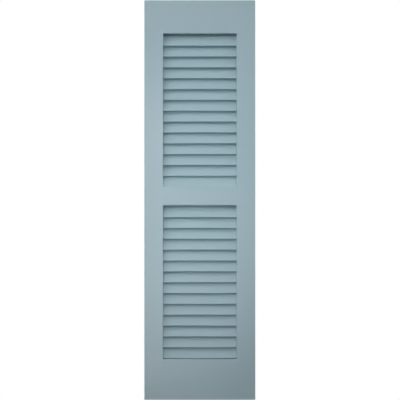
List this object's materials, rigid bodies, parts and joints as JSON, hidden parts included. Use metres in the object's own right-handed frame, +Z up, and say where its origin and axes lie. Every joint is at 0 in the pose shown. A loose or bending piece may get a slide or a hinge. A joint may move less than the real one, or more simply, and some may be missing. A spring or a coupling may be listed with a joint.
{
  "type": "louvered shutter",
  "caption": "Painted exterior window shutter: a flat frame with an upper and a lower opening, each filled with fixed sloping slats, to hang or fix flat against a wall.",
  "frame": {"origin": "middle of the flat back face, half way up and half way across, on the wall plane", "axes": "+X to the right as seen from the front, +Y into the wall, +Z up; the front faces -Y"},
  "size_m": [0.381, 0.0349, 1.3716],
  "materials": {
    "frame_paint": "satin",
    "slat_paint": "satin"
  },
  "bodies": {
    "root": {"stile_left": "frame_paint", "stile_right": "frame_paint", "top_rail": "frame_paint", "mid_rail": "frame_paint", "bottom_rail": "frame_paint", "upper_slat_01": "slat_paint", "upper_slat_02": "slat_paint", "upper_slat_03": "slat_paint", "upper_slat_04": "slat_paint", "upper_slat_05": "slat_paint", "upper_slat_06": "slat_paint", "upper_slat_07": "slat_paint", "upper_slat_08": "slat_paint", "upper_slat_09": "slat_paint", "upper_slat_10": "slat_paint", "upper_slat_11": "slat_paint", "upper_slat_12": "slat_paint", "upper_slat_13": "slat_paint", "lower_slat_01": "slat_paint", "lower_slat_02": "slat_paint", "lower_slat_03": "slat_paint", "lower_slat_04": "slat_paint", "lower_slat_05": "slat_paint", "lower_slat_06": "slat_paint", "lower_slat_07": "slat_paint", "lower_slat_08": "slat_paint", "lower_slat_09": "slat_paint", "lower_slat_10": "slat_paint", "lower_slat_11": "slat_paint", "lower_slat_12": "slat_paint", "lower_slat_13": "slat_paint", "lower_slat_14": "slat_paint"}
  },
  "joints": []
}
